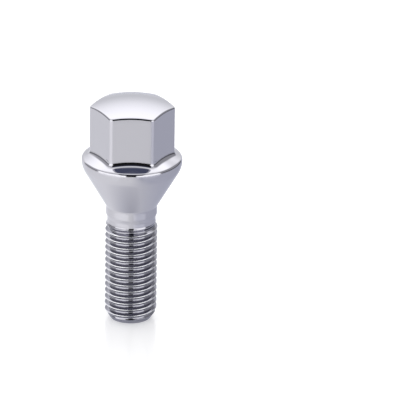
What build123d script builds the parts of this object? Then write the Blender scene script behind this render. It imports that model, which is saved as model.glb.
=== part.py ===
from build123d import *
import math
import os

# Wheel bolt, forged and rolled as one piece of steel: an M12 x 1.5 shank, a 60 degree cone
# seat, a sloped collar and a closed hexagon head under a shallow dome.
# Millimetres. The origin is the centre of the flat face at the threaded end, +Z runs up the
# shank to the head, and two flats of the hexagon face -Y and +Y.

# Shank from the tip face to the cone, and the lengths that follow each other down from the cone
SHANK_LENGTH = 27.5
SHANK_DIAMETER = 11.6
PLAIN_LENGTH = 1.9
SHOULDER_LENGTH = 0.9
NECK_LENGTH = 0.8
NECK_DEPTH = 0.3
RUN_OUT_LENGTH = 1.9

# Thread, as the cylinder over its crests, and chamfered tip
THREAD_DIAMETER = 11.9
TIP_FACE_DIAMETER = 9.2
TIP_CHAMFER_LENGTH = 2.0

# Cone seat and collar
CONE_ANGLE = 60.0
COLLAR_DIAMETER = 22.7
COLLAR_BAND = 1.89
COLLAR_SLOPE = 24.0
RIM_EDGE_ROUNDING = 0.4
RIM_LAND = 0.5
RIM_LAND_TILT = 18.0
RIM_LAND_ROUNDING = 1.1
COLLAR_UNDER_ROUNDING = 4.8

# Hexagon head under its dome
HEX_ACROSS_FLATS = 16.8
HEX_HEIGHT = 13.7
HEX_CORNER_ROUNDING = 1.1
HEX_BASE_FILLET = 1.3
DOME_RADIUS = 27.5
DOME_EDGE_CHAMFER = 0.25

THREAD_RADIUS = THREAD_DIAMETER / 2
SHANK_RADIUS = SHANK_DIAMETER / 2
NECK_RADIUS = SHANK_RADIUS - NECK_DEPTH
COLLAR_RADIUS = COLLAR_DIAMETER / 2
HEX_APOTHEM = HEX_ACROSS_FLATS / 2
HEX_CORNER = HEX_APOTHEM / math.cos(math.pi / 6)
CONE_HEIGHT = (COLLAR_RADIUS - SHANK_RADIUS) / math.tan(math.radians(CONE_ANGLE / 2))
RIM_EDGE_RADIUS = COLLAR_RADIUS - RIM_LAND * math.sin(math.radians(RIM_LAND_TILT))

# Heights above the tip face
SHANK_BOTTOM = SHANK_LENGTH - PLAIN_LENGTH
NECK_TOP = SHANK_BOTTOM - SHOULDER_LENGTH
NECK_BOTTOM = NECK_TOP - NECK_LENGTH
THREAD_TOP = NECK_BOTTOM - RUN_OUT_LENGTH
CONE_TOP = SHANK_LENGTH + CONE_HEIGHT
COLLAR_TOP = CONE_TOP + COLLAR_BAND
SLOPE_PEAK = COLLAR_TOP + COLLAR_RADIUS * math.tan(math.radians(COLLAR_SLOPE))
RIM_EDGE = SLOPE_PEAK - RIM_EDGE_RADIUS * math.tan(math.radians(COLLAR_SLOPE))
RIM_LAND_BOTTOM = RIM_EDGE - RIM_LAND * math.cos(math.radians(RIM_LAND_TILT))
HEAD_TOP = COLLAR_TOP + HEX_HEIGHT
CLOSE = 0.001


def turned_body():
    """All that is round: tip, thread, neck, plain shank, cone seat and collar."""
    tip_radius = TIP_FACE_DIAMETER / 2
    with BuildPart() as body:
        with BuildSketch(Plane.XZ) as section:
            with BuildLine():
                Polyline(
                    (0, 0),
                    (tip_radius, 0),
                    (THREAD_RADIUS, TIP_CHAMFER_LENGTH),
                    (THREAD_RADIUS, THREAD_TOP),
                    (NECK_RADIUS, NECK_BOTTOM),
                    (NECK_RADIUS, NECK_TOP),
                    (SHANK_RADIUS, SHANK_BOTTOM),
                    (SHANK_RADIUS, SHANK_LENGTH),
                    (COLLAR_RADIUS, CONE_TOP),
                    (COLLAR_RADIUS, RIM_LAND_BOTTOM),
                    (RIM_EDGE_RADIUS, RIM_EDGE),
                    (0, SLOPE_PEAK),
                    close=True,
                )
            make_face()
            under_rim = section.vertices().sort_by_distance((COLLAR_RADIUS, CONE_TOP))[0]
            fillet(under_rim, COLLAR_UNDER_ROUNDING)
            rim = section.vertices().sort_by_distance((COLLAR_RADIUS, RIM_LAND_BOTTOM))[0]
            fillet(rim, RIM_LAND_ROUNDING)
            rim_edge = section.vertices().sort_by_distance((RIM_EDGE_RADIUS, RIM_EDGE))[0]
            fillet(rim_edge, RIM_EDGE_ROUNDING)
        revolve(axis=Axis.Z)
    return body.part


def hexagon_head():
    """Hexagon with rounded upright edges, cut off at the top by a shallow dome."""
    with BuildPart() as head:
        with BuildSketch(Plane.XY.offset(COLLAR_TOP)) as outline:
            RegularPolygon(HEX_APOTHEM, 6, major_radius=False)
            fillet(outline.vertices(), HEX_CORNER_ROUNDING)
        extrude(amount=HEX_HEIGHT)
        with Locations((0, 0, HEAD_TOP - DOME_RADIUS)):
            Sphere(DOME_RADIUS, mode=Mode.INTERSECT)
    return head.part


def edges_around_hexagon(solid, lowest, highest):
    """Edges that run round the outline of the hexagon between two heights."""
    found = []
    for edge in solid.edges():
        points = [edge @ position for position in (0, 0.5, 1)]
        radii = [math.hypot(point.X, point.Y) for point in points]
        heights = [point.Z for point in points]
        on_outline = HEX_APOTHEM - CLOSE < min(radii) and max(radii) < HEX_CORNER
        if on_outline and lowest < min(heights) and max(heights) < highest:
            found.append(edge)
    return found


def wheel_bolt():
    """Body and head as one solid, with the hexagon's foot rounded and the dome's edge broken."""
    bolt = turned_body() + hexagon_head()
    middle = (COLLAR_TOP + HEAD_TOP) / 2
    bolt = bolt.fillet(HEX_BASE_FILLET, edges_around_hexagon(bolt, COLLAR_TOP, middle))
    dome_edge = edges_around_hexagon(bolt, middle, HEAD_TOP)
    bolt = bolt.chamfer(DOME_EDGE_CHAMFER, None, dome_edge)
    bolt.label = "wheel_bolt"
    return bolt


os.makedirs("parts", exist_ok=True)
export_step(wheel_bolt(), "parts/wheel_bolt.step")
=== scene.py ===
import math

import bmesh
import bpy
from mathutils import Matrix, Vector


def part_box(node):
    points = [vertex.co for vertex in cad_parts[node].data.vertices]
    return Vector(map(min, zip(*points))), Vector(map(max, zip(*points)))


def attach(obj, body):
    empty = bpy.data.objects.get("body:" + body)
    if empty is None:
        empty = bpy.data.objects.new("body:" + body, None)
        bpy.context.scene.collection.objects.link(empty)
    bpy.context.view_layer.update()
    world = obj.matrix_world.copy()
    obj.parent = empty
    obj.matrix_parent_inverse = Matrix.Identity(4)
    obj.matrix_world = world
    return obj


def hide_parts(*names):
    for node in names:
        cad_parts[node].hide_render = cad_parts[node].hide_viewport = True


# One chrome wheel bolt as a single mesh with its rolled thread. It stands on a glossy white
# sheet in a white tent that is darker at the sides, with dark gaps on the camera's side.
# Lengths are in millimetres where no comment says metres, and Z runs up from the tip's face.
MM = 0.001

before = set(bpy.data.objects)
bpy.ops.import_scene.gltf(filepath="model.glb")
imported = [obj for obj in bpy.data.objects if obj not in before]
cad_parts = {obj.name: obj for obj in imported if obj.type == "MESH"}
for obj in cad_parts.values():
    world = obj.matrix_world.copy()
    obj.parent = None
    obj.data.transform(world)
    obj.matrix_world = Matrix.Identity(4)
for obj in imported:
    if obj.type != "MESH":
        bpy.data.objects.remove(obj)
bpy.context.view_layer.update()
NODE = "wheel_bolt"
HIGH = Vector(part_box(NODE)[1]) / MM

# Columns of the mesh: each side of the hexagon has those of one corner and one flat
SIDES = 6
SIDE_ANGLE = 360 / SIDES
CORNER_STEPS = 12
FLAT_STEPS = 20
COLUMNS = SIDES * (CORNER_STEPS + FLAT_STEPS)

# Rows of the mesh, from the dome down to the neck. The columns turn from the hexagon's
# spacing to an even one over a share of the rows from the collar to the neck.
DOME_STEPS = 26
DOME_EDGE_STEPS = 8
WALL_STEPS = 12
FOOT_STEPS = 10
SLOPE_STEPS = 6
ARC_STEP = math.radians(5)
FEWEST_ARC_STEPS = 3
LONGEST_STEP = 0.6
TURNING_SHARE = 0.6
MERGE_DISTANCE = 0.002
SHORTEST_EDGE = 0.0001

# Hexagon head
HEX_APOTHEM = 8.4
HEX_CORNER_ROUNDING = 1.1
HEX_FOOT_RADIUS = 1.3
DOME_RADIUS = 27.5
DOME_EDGE_RADIUS = 0.5
DOME_TOP = HIGH.z

# Collar, cone seat, plain shank and neck
COLLAR_RADIUS = HIGH.x
COLLAR_BAND = 1.89
COLLAR_SLOPE = math.radians(24)
CONE_ANGLE = math.radians(60)
SHANK_RADIUS = 5.8
SHANK_LENGTH = 27.5
PLAIN_LENGTH = 1.9
SHOULDER_LENGTH = 0.9
UPPER_NECK_LENGTH = 0.3
SHANK_BOTTOM = SHANK_LENGTH - PLAIN_LENGTH
NECK_RADIUS = 5.5
NECK_TOP = SHANK_BOTTOM - SHOULDER_LENGTH
NECK_MIDDLE = NECK_TOP - UPPER_NECK_LENGTH
CONE_TOP = SHANK_LENGTH + (COLLAR_RADIUS - SHANK_RADIUS) / math.tan(CONE_ANGLE / 2)
COLLAR_TOP = CONE_TOP + COLLAR_BAND
RIM_MARGIN = 1.0
RIM_EDGE_ROUNDING = 0.7
RIM_LAND = 0.5
RIM_LAND_TILT = math.radians(18)
RIM_LAND_ROUNDING = 1.1
UNDER_RIM_ROUNDING = 4.8
CONE_FOOT_ROUNDING = 1.0
NECK_ROUNDING = 0.8

# Thread. Flanks that met in sharp edges would be as deep as its sharp depth. Rounding the crest
# and the root loses some of that depth, which sets the rounding of the root.
PITCH = 1.5
CREST_RADIUS = 5.95
THREAD_DEPTH = 0.78
FLANK_ANGLE = math.radians(60)
CREST_ROUNDING = 0.1
SHARP_DEPTH = PITCH / 2 * math.tan(FLANK_ANGLE)
LOSS_PER_ROUNDING = 1 / math.cos(FLANK_ANGLE) - 1
ROOT_ROUNDING = (SHARP_DEPTH - THREAD_DEPTH) / LOSS_PER_ROUNDING - CREST_ROUNDING
CREST_REACH = CREST_ROUNDING * math.sin(FLANK_ANGLE)
ROOT_REACH = ROOT_ROUNDING * math.sin(FLANK_ANGLE)
CREST_PHASE = 1.2
RUN_OUT_START = 22.1
RUN_OUT_TOP = 24.0
BLEND = 0.12
THREAD_ARC_STEPS = 3
FLANK_SHARES = (0.12, 0.5, 0.88)

# Tip
TIP_FACE_RADIUS = 4.6
TIP_CHAMFER_LENGTH = 2.0
TIP_ROUNDING = 0.25
TIP_HUB_RADIUS = 1.0
THREAD_FOOT = 0.35

# Chrome plate. Depths are below the thread's crest: a painted highlight brightens the plate down
# to the crest's edge, and painted shade is darkest from the flank's top to its foot and fades back
# towards the root.
# Haze and waves are noise, with a scale in features per metre.
CHROME = (0.55, 0.545, 0.59, 1)
# Painted highlight on the thread's crests and painted shade on its flanks
PAINTED_CREST_HIGHLIGHT = (0.92, 0.92, 0.94, 1)
PAINTED_FLANK_SHADE = (0.26, 0.26, 0.3, 1)
CHROME_EDGE_TINT = (0.8, 0.81, 0.84, 1)
CREST_EDGE_DEPTH = 0.03
FLANK_TOP_DEPTH = 0.2
FLANK_FOOT_DEPTH = 0.5
FLANK_FADE_DEPTH = 1.1
HAZE_SCALE = 260
HAZE_DETAIL = 4
HAZE_LEVELS = (0.3, 0.7)
HAZE_ROUGHNESS = (0.02, 0.05)
WAVE_SCALE = 180
WAVE_DETAIL = 1
WAVE_STRENGTH = 0.35
WAVE_HEIGHT = 0.06

# White sheet under the bolt, with its radius in metres. Reflections and bounced light see painted
# shade on it to the right and a painted shadow near the foot, and the camera sees it evenly white.
FLOOR_RADIUS = 4.0
FLOOR_SEGMENTS = 96
FLOOR_ROUGHNESS = 0.12
FLOOR_IOR = 1.6
FLOOR_WHITE = (0.9, 0.9, 0.9, 1)
FLOOR_SHADE = (0.52, 0.53, 0.6, 1)
# Painted shade to the right and painted shadow near the foot, seen only in reflections and bounced
# light
RIGHT_SHADE_BEARING = 5
RIGHT_SHADE_REACH = (-12 * MM, 32 * MM)
FOOT_SHADE_SHARE = 0.8
FOOT_SHADE_REACH = (28 * MM, 4 * MM)
FLOOR_LIFT = 0.25
CAMERA_LIFT = 1.5

# Tent: each panel is (bearing, elevation, half width, half height, soft edge, light), with
# angles in degrees seen from the bolt. The camera is on the -Y side, at bearing -90. The least
# part of a view that counts as ahead keeps each panel off the far side.
TENT_LIGHT = (1.0, 1.0, 1.0, 1)
PANELS = {
    "back glow": (90, 52, 46, 20, 24, (1.82, 1.82, 1.82, 1)),
    "left room": (180, 16, 38, 26, 10, (0.55, 0.55, 0.57, 1)),
    "left horizon": (180, 2, 40, 9, 4, (0.2, 0.2, 0.21, 1)),
    "right room": (15, 14, 40, 34, 8, (0.42, 0.42, 0.44, 1)),
    "right horizon": (18, 2, 38, 9, 4, (0.12, 0.12, 0.13, 1)),
    "left of the camera": (-136, 9, 34, 19, 4, (1.7, 1.7, 1.7, 1)),
    "right of the camera": (-51, 9, 27, 19, 4, (1.7, 1.7, 1.7, 1)),
    "gap above the camera": (-90, 46, 24, 19, 2, (0.02, 0.02, 0.025, 1)),
    "edge of the gap": (-90, 67.5, 38, 4.5, 2, (0.17, 0.19, 0.28, 1)),
    "gap round the camera": (-91, 12, 11, 19, 2, (0.01, 0.01, 0.01, 1)),
}
LEAST_AHEAD = 0.0001

# Camera, from the photograph: its distance and clip end in metres, the height of its target
# on the bolt's axis, and the pixel of the 400 pixel frame at which that target lies
CAMERA_DISTANCE = 1.0
CAMERA_TARGET_HEIGHT = 27.0
CAMERA_BEARING = -89.58
CAMERA_ELEVATION = 22.37
CAMERA_ROLL = 0.55
CAMERA_CLIP_END = 100
FRAME_PIXELS = 400
TARGET_PIXEL = (131.52, 205.95)
PIXELS_PER_RADIAN = 4428.1
SENSOR = 36.0


def bearing(degrees):
    """Unit vector in the XY plane."""
    angle = math.radians(degrees)
    return Vector((math.cos(angle), math.sin(angle), 0))


def direction(degrees, elevation):
    """Unit vector towards a bearing and an elevation, both in degrees."""
    rise = math.radians(elevation)
    return bearing(degrees) * math.cos(rise) + Vector((0, 0, math.sin(rise)))


def around(radius, angle, height):
    """Point at a distance from the axis, an angle round it and a height."""
    return Vector((radius * math.cos(angle), radius * math.sin(angle), height))


def column_angle(column):
    """Angle of one of the evenly spaced columns."""
    return 2 * math.pi * column / COLUMNS


def between(start, end, share):
    """Unit vector on the arc from start to end."""
    angle = start.angle(end)
    first = start * math.sin((1 - share) * angle)
    second = end * math.sin(share * angle)
    return (first + second) / math.sin(angle)


def hexagon_outline():
    """Points and outward normals round the hexagon, from the middle of the corner on +X."""
    half = SIDE_ANGLE / 2
    reach = (HEX_APOTHEM - HEX_CORNER_ROUNDING) / math.cos(math.radians(half))
    outline = []
    for corner in range(SIDES):
        facing = SIDE_ANGLE * corner
        centre = bearing(facing) * reach
        following = bearing(facing + SIDE_ANGLE) * reach
        for step in range(CORNER_STEPS):
            normal = bearing(facing - half + SIDE_ANGLE * step / CORNER_STEPS)
            outline.append((centre + normal * HEX_CORNER_ROUNDING, normal))
        normal = bearing(facing + half)
        for step in range(FLAT_STEPS):
            point = centre.lerp(following, step / FLAT_STEPS)
            outline.append((point + normal * HEX_CORNER_ROUNDING, normal))
    middle = CORNER_STEPS // 2
    return outline[middle:] + outline[:middle]


def dome_rings(outline):
    """Dome from its top out to the tangent line of its rounded edge, then the edge itself."""
    centre = Vector((0, 0, DOME_TOP - DOME_RADIUS))
    edge_balls = []
    for point, normal in outline:
        ball = point - normal * DOME_EDGE_RADIUS
        ball.z = centre.z + math.sqrt((DOME_RADIUS - DOME_EDGE_RADIUS) ** 2 - ball.length_squared)
        edge_balls.append(ball)
    rings = []
    for step in range(1, DOME_STEPS):
        ring = []
        for ball in edge_balls:
            rim = centre + (ball - centre).normalized() * DOME_RADIUS
            spoke = Vector((rim.x, rim.y, 0)) * (step / DOME_STEPS)
            height = math.sqrt(DOME_RADIUS**2 - spoke.length_squared)
            ring.append(spoke + Vector((0, 0, centre.z + height)))
        rings.append(ring)
    for step in range(DOME_EDGE_STEPS + 1):
        ring = []
        for ball, (point, normal) in zip(edge_balls, outline):
            up = (ball - centre).normalized()
            ring.append(ball + between(up, normal, step / DOME_EDGE_STEPS) * DOME_EDGE_RADIUS)
        rings.append(ring)
    return rings


def slope_height(radius):
    """Height of the collar's sloped top at a distance from the axis."""
    return COLLAR_TOP + (COLLAR_RADIUS - radius) * math.tan(COLLAR_SLOPE)


def wall_and_foot_rings(outline, wall_top):
    """Flats of the hexagon down to the rounded foot that runs into the collar's slope."""
    balls = []
    for point, normal in outline:
        ball = point + normal * HEX_FOOT_RADIUS
        ball.z = slope_height(ball.length) + HEX_FOOT_RADIUS / math.cos(COLLAR_SLOPE)
        balls.append(ball)
    rings = []
    for step in range(1, WALL_STEPS):
        ring = []
        for top, ball, (point, normal) in zip(wall_top, balls, outline):
            height = top.z + (ball.z - top.z) * step / WALL_STEPS
            ring.append(Vector((point.x, point.y, height)))
        rings.append(ring)
    for step in range(FOOT_STEPS + 1):
        ring = []
        for ball, (point, normal) in zip(balls, outline):
            outward = Vector((ball.x, ball.y, 0)).normalized()
            slope_normal = outward * math.sin(COLLAR_SLOPE)
            slope_normal.z = math.cos(COLLAR_SLOPE)
            ring.append(ball - between(normal, slope_normal, step / FOOT_STEPS) * HEX_FOOT_RADIUS)
        rings.append(ring)
    return rings


def rounded_profile(corners):
    """Radius and height pairs along straight lines, with an arc of the given radius at each
    corner that has one. Long straight stretches are divided."""
    stops = []
    for index, (radius, height, rounding) in enumerate(corners):
        here = Vector((radius, height))
        if not rounding:
            stops.append(here)
            continue
        before = (Vector(corners[index - 1][:2]) - here).normalized()
        after = (Vector(corners[index + 1][:2]) - here).normalized()
        half = before.angle(after) / 2
        reach = rounding / math.tan(half)
        centre = here + (before + after).normalized() * rounding / math.sin(half)
        start = (here + before * reach - centre).normalized()
        end = (here + after * reach - centre).normalized()
        steps = max(FEWEST_ARC_STEPS, round(start.angle(end) / ARC_STEP))
        for step in range(steps + 1):
            stops.append(centre + between(start, end, step / steps) * rounding)
    points = [stops[0]]
    for stop in stops[1:]:
        start = points[-1]
        pieces = math.ceil((stop - start).length / LONGEST_STEP)
        for piece in range(1, pieces + 1):
            points.append(start.lerp(stop, piece / pieces))
    return points


def collar_to_neck_profile():
    """Section from near the rim, over its tilted land and down the cone to the neck."""
    edge_radius = COLLAR_RADIUS - RIM_LAND * math.sin(RIM_LAND_TILT)
    edge_height = slope_height(edge_radius)
    land_bottom = edge_height - RIM_LAND * math.cos(RIM_LAND_TILT)
    start_radius = edge_radius - RIM_MARGIN
    return rounded_profile(
        [
            (start_radius, slope_height(start_radius), 0),
            (edge_radius, edge_height, RIM_EDGE_ROUNDING),
            (COLLAR_RADIUS, land_bottom, RIM_LAND_ROUNDING),
            (COLLAR_RADIUS, CONE_TOP, UNDER_RIM_ROUNDING),
            (SHANK_RADIUS, SHANK_LENGTH, CONE_FOOT_ROUNDING),
            (SHANK_RADIUS, SHANK_BOTTOM, NECK_ROUNDING),
            (NECK_RADIUS, NECK_TOP, NECK_ROUNDING),
            (NECK_RADIUS, NECK_MIDDLE, 0),
        ]
    )


def collar_to_neck_rings(foot):
    """Collar, cone and shank. Their columns turn gradually from the hexagon's to even ones."""
    reach = max(point.to_2d().length for point in foot)
    profile = collar_to_neck_profile()
    # The corners of the hexagon's foot cover the start of the profile
    while profile[0].x <= reach:
        profile.pop(0)
    rings = []
    for step in range(1, SLOPE_STEPS):
        ring = []
        for point in foot:
            radius = point.to_2d().length
            radius += (profile[0].x - radius) * step / SLOPE_STEPS
            spoke = point.to_2d().normalized() * radius
            ring.append(Vector((spoke.x, spoke.y, slope_height(radius))))
        rings.append(ring)
    for index, stop in enumerate(profile):
        share = min(1, index / (TURNING_SHARE * len(profile)))
        ring = []
        for column, point in enumerate(foot):
            own = math.atan2(point.y, point.x) % (2 * math.pi)
            drift = (column_angle(column) - own + math.pi) % (2 * math.pi) - math.pi
            ring.append(around(stop.x, own + drift * share, stop.y))
        rings.append(ring)
    return rings


def flank_profile(offset):
    """Radius of the full thread at a distance along the axis from the crest's middle."""
    away = abs(offset)
    if away < CREST_REACH:
        fall = CREST_ROUNDING - math.sqrt(CREST_ROUNDING**2 - away**2)
        return CREST_RADIUS - fall
    if away > PITCH / 2 - ROOT_REACH:
        rise = ROOT_ROUNDING - math.sqrt(ROOT_ROUNDING**2 - (PITCH / 2 - away) ** 2)
        return CREST_RADIUS - THREAD_DEPTH + rise
    flank_top = CREST_RADIUS - CREST_ROUNDING * (1 - math.cos(FLANK_ANGLE))
    return flank_top - (away - CREST_REACH) * math.tan(FLANK_ANGLE)


def smooth_minimum(first, second):
    """The lower of two values, with a rounded change from one to the other."""
    overlap = max(BLEND - abs(first - second), 0)
    return min(first, second) - overlap**2 / (4 * BLEND)


def run_out_share(height):
    """1 along the full thread, falling to 0 where the thread has faded into the neck."""
    share = (RUN_OUT_TOP - height) / (RUN_OUT_TOP - RUN_OUT_START)
    share = min(1, max(0, share))
    return share**2 * (3 - 2 * share)


def thread_radius(angle, height):
    """Radius of the threaded length, which fades into the neck and is cut by the chamfer."""
    along = height - PITCH * angle / (2 * math.pi) - CREST_PHASE
    offset = (along + PITCH / 2) % PITCH - PITCH / 2
    rolled = flank_profile(offset) - NECK_RADIUS
    radius = NECK_RADIUS + run_out_share(height) * rolled
    rise = (CREST_RADIUS - TIP_FACE_RADIUS) / TIP_CHAMFER_LENGTH
    return smooth_minimum(radius, TIP_FACE_RADIUS + rise * height)


def thread_offsets():
    """Distances along one pitch, from a crest, at which the mesh has its helical rows."""
    sines = [
        math.sin(FLANK_ANGLE * step / THREAD_ARC_STEPS) for step in range(THREAD_ARC_STEPS + 1)
    ]
    crest = [CREST_ROUNDING * sine for sine in sines]
    root = [PITCH / 2 - ROOT_ROUNDING * sine for sine in reversed(sines)]
    flank = [crest[-1] + (root[0] - crest[-1]) * share for share in FLANK_SHARES]
    half = crest + flank + root
    return half + [PITCH - offset for offset in reversed(half[1:-1])]


def thread_point(angle, height):
    """Point on the threaded length, kept between the tip's ring and the neck's ring."""
    height = min(max(height, THREAD_FOOT), NECK_MIDDLE)
    return around(thread_radius(angle, height), angle, height)


def thread_rows():
    """Helical rows from below the tip to above the run-out, each one full turn long."""
    rows = []
    first_turn = math.floor((THREAD_FOOT - CREST_PHASE) / PITCH) - 1
    last_turn = math.ceil((NECK_MIDDLE - CREST_PHASE) / PITCH)
    for turn in range(first_turn, last_turn + 1):
        for offset in thread_offsets():
            row = []
            for column in range(COLUMNS + 1):
                height = CREST_PHASE + turn * PITCH + offset + PITCH * column / COLUMNS
                row.append(thread_point(column_angle(column), height))
            rows.append(row)
    return rows


def tip_rings():
    """Foot of the chamfer, rounded tip edge and the flat face at the end."""
    profile = rounded_profile(
        [
            (thread_radius(0, THREAD_FOOT), THREAD_FOOT, 0),
            (TIP_FACE_RADIUS, 0, TIP_ROUNDING),
            (TIP_HUB_RADIUS, 0, 0),
        ]
    )
    rings = []
    for stop in profile:
        rings.append([around(stop.x, column_angle(column), stop.y) for column in range(COLUMNS)])
    return rings


def add_rows(mesh, rows, closed):
    """Quads between rows of equal length, with the last column joined to the first if closed."""
    made = [[mesh.verts.new(point * MM) for point in row] for row in rows]
    for upper, lower in zip(made, made[1:]):
        count = len(upper) if closed else len(upper) - 1
        for column in range(count):
            right = (column + 1) % len(upper)
            mesh.faces.new((upper[column], lower[column], lower[right], upper[right]))
    return made


def add_cap(mesh, ring, centre):
    """Fan that closes a ring."""
    hub = mesh.verts.new(centre * MM)
    for column in range(len(ring)):
        mesh.faces.new((hub, ring[column], ring[(column + 1) % len(ring)]))


def linked_object(name, mesh):
    """Object in the scene that holds a mesh under construction."""
    data = bpy.data.meshes.new(name)
    mesh.to_mesh(data)
    mesh.free()
    made = bpy.data.objects.new(name, data)
    bpy.context.scene.collection.objects.link(made)
    return made


def build_bolt():
    """The whole bolt as one watertight mesh."""
    outline = hexagon_outline()
    upper = dome_rings(outline)
    upper += wall_and_foot_rings(outline, upper[-1])
    upper += collar_to_neck_rings(upper[-1])
    mesh = bmesh.new()
    head = add_rows(mesh, upper, closed=True)
    add_cap(mesh, head[0], Vector((0, 0, DOME_TOP)))
    add_rows(mesh, list(reversed(thread_rows())), closed=False)
    tip = add_rows(mesh, tip_rings(), closed=True)
    add_cap(mesh, list(reversed(tip[-1])), Vector((0, 0, 0)))
    bmesh.ops.remove_doubles(mesh, verts=mesh.verts, dist=MERGE_DISTANCE * MM)
    bmesh.ops.dissolve_degenerate(mesh, edges=mesh.edges, dist=SHORTEST_EDGE * MM)
    bmesh.ops.recalc_face_normals(mesh, faces=mesh.faces)
    for face in mesh.faces:
        face.smooth = True
    return linked_object("bolt", mesh)


def feed(tree, socket, value):
    """Gives an input its value, which is another node's output or a plain value."""
    if isinstance(value, bpy.types.NodeSocket):
        tree.links.new(value, socket)
    else:
        socket.default_value = value


def calculated(tree, operation, *values):
    """Result of an operation on one or two values."""
    step = tree.nodes.new("ShaderNodeMath")
    step.operation = operation
    for socket, value in zip(step.inputs, values):
        feed(tree, socket, value)
    return step.outputs["Value"]


def ramp(tree, value, reach, results=(0, 1), shape="LINEAR"):
    """The first result where the value is at the start of its reach, and the second at its end."""
    step = tree.nodes.new("ShaderNodeMapRange")
    step.interpolation_type = shape
    step.inputs["From Min"].default_value = reach[0]
    step.inputs["From Max"].default_value = reach[1]
    step.inputs["To Min"].default_value = results[0]
    step.inputs["To Max"].default_value = results[1]
    tree.links.new(value, step.inputs["Value"])
    return step.outputs["Result"]


def mixed(tree, share, first, second):
    """The first colour at a share of 0 and the second at 1."""
    step = tree.nodes.new("ShaderNodeMix")
    step.data_type = "RGBA"
    feed(tree, step.inputs["Factor"], share)
    feed(tree, step.inputs["A"], first)
    feed(tree, step.inputs["B"], second)
    return step.outputs["Result"]


def length_of(tree, vector):
    """Length of a vector."""
    step = tree.nodes.new("ShaderNodeVectorMath")
    step.operation = "LENGTH"
    tree.links.new(vector, step.inputs[0])
    return step.outputs["Value"]


def projection(tree, vector, axis):
    """Length of a vector along an axis."""
    step = tree.nodes.new("ShaderNodeVectorMath")
    step.operation = "DOT_PRODUCT"
    step.inputs[1].default_value = axis
    tree.links.new(vector, step.inputs[0])
    return step.outputs["Value"]


def noise(tree, place, scale, detail):
    """Even noise over a surface."""
    step = tree.nodes.new("ShaderNodeTexNoise")
    step.inputs["Scale"].default_value = scale
    step.inputs["Detail"].default_value = detail
    tree.links.new(place, step.inputs["Vector"])
    return step.outputs["Fac"]


def new_material(name):
    """Material with its node tree and its shader."""
    material = bpy.data.materials.new(name)
    material.use_nodes = True
    return material, material.node_tree, material.node_tree.nodes["Principled BSDF"]


def object_place(tree):
    """Place on the surface, in the object's own frame."""
    return tree.nodes.new("ShaderNodeTexCoord").outputs["Object"]


def distance_from_axis(tree, place):
    """Length of a place's part across the bolt's axis."""
    flat = tree.nodes.new("ShaderNodeVectorMath")
    flat.operation = "MULTIPLY"
    flat.inputs[1].default_value = (1, 1, 0)
    tree.links.new(place, flat.inputs[0])
    return length_of(tree, flat.outputs["Vector"])


def share_within(tree, limits):
    """Product of ramps, each from 0 at its first length in millimetres to 1 at its second."""
    ramps = [ramp(tree, value, (nothing * MM, full * MM)) for value, nothing, full in limits]
    share = ramps[0]
    for other in ramps[1:]:
        share = calculated(tree, "MULTIPLY", share, other)
    return share


def chrome_with_painted_thread_light(tree, place):
    """Chrome, with a painted highlight on the crests of the thread and painted shade on its
    flanks.
    """
    radius = distance_from_axis(tree, place)
    height = projection(tree, place, (0, 0, 1))
    crest_edge = CREST_RADIUS - CREST_EDGE_DEPTH
    flank_top = CREST_RADIUS - FLANK_TOP_DEPTH
    on_thread = [(height, RUN_OUT_TOP, RUN_OUT_START), (height, 0, TIP_CHAMFER_LENGTH)]
    on_crest = on_thread + [(radius, flank_top, crest_edge)]
    on_flank = on_thread + [
        (radius, crest_edge, flank_top),
        (radius, CREST_RADIUS - FLANK_FADE_DEPTH, CREST_RADIUS - FLANK_FOOT_DEPTH),
    ]
    # Painted highlight on the crests, then painted shade on the flanks of the thread
    crests = mixed(tree, share_within(tree, on_crest), CHROME, PAINTED_CREST_HIGHLIGHT)
    return mixed(tree, share_within(tree, on_flank), crests, PAINTED_FLANK_SHADE)


def chrome_material():
    """Bright chrome plate with a slight haze and faint waves."""
    material, tree, shader = new_material("chrome")
    shader.inputs["Metallic"].default_value = 1.0
    shader.inputs["Specular Tint"].default_value = CHROME_EDGE_TINT
    place = object_place(tree)
    tree.links.new(chrome_with_painted_thread_light(tree, place), shader.inputs["Base Color"])
    haze = noise(tree, place, HAZE_SCALE, HAZE_DETAIL)
    tree.links.new(ramp(tree, haze, HAZE_LEVELS, HAZE_ROUGHNESS), shader.inputs["Roughness"])
    bump = tree.nodes.new("ShaderNodeBump")
    bump.inputs["Strength"].default_value = WAVE_STRENGTH
    bump.inputs["Distance"].default_value = WAVE_HEIGHT * MM
    tree.links.new(noise(tree, place, WAVE_SCALE, WAVE_DETAIL), bump.inputs["Height"])
    tree.links.new(bump.outputs["Normal"], shader.inputs["Normal"])
    return material


def floor_colour(tree, seen):
    """White for the camera, with painted shade to the right and a painted shadow near the foot for
    all other rays.
    """
    place = object_place(tree)
    along = projection(tree, place, bearing(RIGHT_SHADE_BEARING))
    away = length_of(tree, place)
    # Painted shade to the right and painted shadow near the foot
    right = ramp(tree, along, RIGHT_SHADE_REACH, shape="SMOOTHSTEP")
    foot = ramp(tree, away, FOOT_SHADE_REACH, (0, FOOT_SHADE_SHARE), "SMOOTHSTEP")
    shaded = calculated(tree, "MAXIMUM", right, foot)
    unseen = calculated(tree, "SUBTRACT", 1, seen.outputs["Is Camera Ray"])
    return mixed(tree, calculated(tree, "MULTIPLY", shaded, unseen), FLOOR_WHITE, FLOOR_SHADE)


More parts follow.
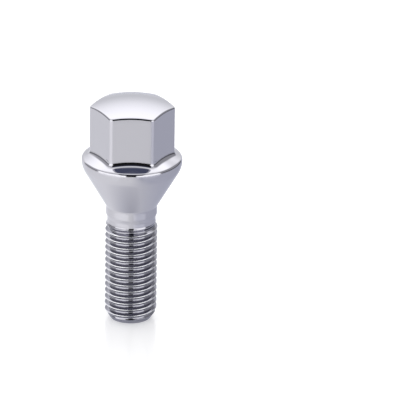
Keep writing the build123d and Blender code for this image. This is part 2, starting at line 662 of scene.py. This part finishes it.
def floor_material():
    """Glossy white sheet, which gives off some light where the camera or the chrome sees it."""
    material, tree, sheet = new_material("white sheet")
    sheet.inputs["Roughness"].default_value = FLOOR_ROUGHNESS
    sheet.inputs["IOR"].default_value = FLOOR_IOR
    seen = tree.nodes.new("ShaderNodeLightPath")
    colour = floor_colour(tree, seen)
    tree.links.new(colour, sheet.inputs["Base Color"])
    tree.links.new(colour, sheet.inputs["Emission Color"])
    by_camera = calculated(tree, "MULTIPLY", seen.outputs["Is Camera Ray"], CAMERA_LIFT)
    share = calculated(tree, "MAXIMUM", by_camera, seen.outputs["Is Glossy Ray"])
    share = calculated(tree, "MAXIMUM", share, seen.outputs["Is Transmission Ray"])
    lift = calculated(tree, "MULTIPLY", share, FLOOR_LIFT)
    tree.links.new(lift, sheet.inputs["Emission Strength"])
    return material


def edge_mask(tree, ratio, half_angle, edge):
    """1 inside the half angle on both sides of a panel's middle line and 0 outside."""
    outside = math.tan(math.radians(half_angle + edge))
    inside = math.tan(math.radians(half_angle - edge))
    size = calculated(tree, "ABSOLUTE", ratio)
    return ramp(tree, size, (outside, inside), shape="SMOOTHSTEP")


def add_panel(tree, view, below, panel):
    """Lays a flat panel, lit or dark, over the colour below, and returns the result."""
    degrees, elevation, half_width, half_height, edge, light = panel
    middle = direction(degrees, elevation)
    across = bearing(degrees + 90)
    upward = middle.cross(across)
    ahead = calculated(tree, "MAXIMUM", projection(tree, view, middle), LEAST_AHEAD)
    side = calculated(tree, "DIVIDE", projection(tree, view, across), ahead)
    rise = calculated(tree, "DIVIDE", projection(tree, view, upward), ahead)
    width = edge_mask(tree, side, half_width, edge)
    height = edge_mask(tree, rise, half_height, edge)
    return mixed(tree, calculated(tree, "MULTIPLY", width, height), below, light)


def build_world():
    """White tent with darker sides, a softbox behind and dark gaps on the camera's side."""
    world = bpy.data.worlds.new("tent")
    world.use_nodes = True
    tree = world.node_tree
    view = tree.nodes.new("ShaderNodeTexCoord").outputs["Generated"]
    colour = TENT_LIGHT
    for panel in PANELS.values():
        colour = add_panel(tree, view, colour, panel)
    tree.links.new(colour, tree.nodes["Background"].inputs["Color"])
    bpy.context.scene.world = world


def build_floor():
    """Round sheet under the bolt."""
    mesh = bmesh.new()
    bmesh.ops.create_circle(mesh, cap_ends=True, segments=FLOOR_SEGMENTS, radius=FLOOR_RADIUS)
    floor = linked_object("floor", mesh)
    floor.data.materials.append(floor_material())


def build_camera():
    """Camera at the photograph's angle, turned aside so that the bolt stands left of centre."""
    data = bpy.data.cameras.new("camera")
    data.sensor_width = SENSOR
    data.lens = SENSOR * PIXELS_PER_RADIAN / FRAME_PIXELS
    data.clip_end = CAMERA_CLIP_END
    target = Vector((0, 0, CAMERA_TARGET_HEIGHT * MM))
    place = target + direction(CAMERA_BEARING, CAMERA_ELEVATION) * CAMERA_DISTANCE
    facing = (target - place).to_track_quat("-Z", "Y").to_matrix()
    roll = Matrix.Rotation(math.radians(CAMERA_ROLL), 3, "Z")
    across = (FRAME_PIXELS / 2 - TARGET_PIXEL[0]) / PIXELS_PER_RADIAN
    down = (FRAME_PIXELS / 2 - TARGET_PIXEL[1]) / PIXELS_PER_RADIAN
    pan = Matrix.Rotation(-math.atan(across), 3, "Y")
    tilt = Matrix.Rotation(-math.atan(down), 3, "X")
    camera = bpy.data.objects.new("camera", data)
    camera.matrix_world = Matrix.Translation(place) @ (facing @ roll @ pan @ tilt).to_4x4()
    bpy.context.scene.collection.objects.link(camera)
    bpy.context.scene.camera = camera


bolt = build_bolt()
bolt.data.materials.append(chrome_material())
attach(bolt, "root")
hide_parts(NODE)
build_floor()
build_world()
build_camera()
bpy.context.scene.view_settings.view_transform = "Standard"
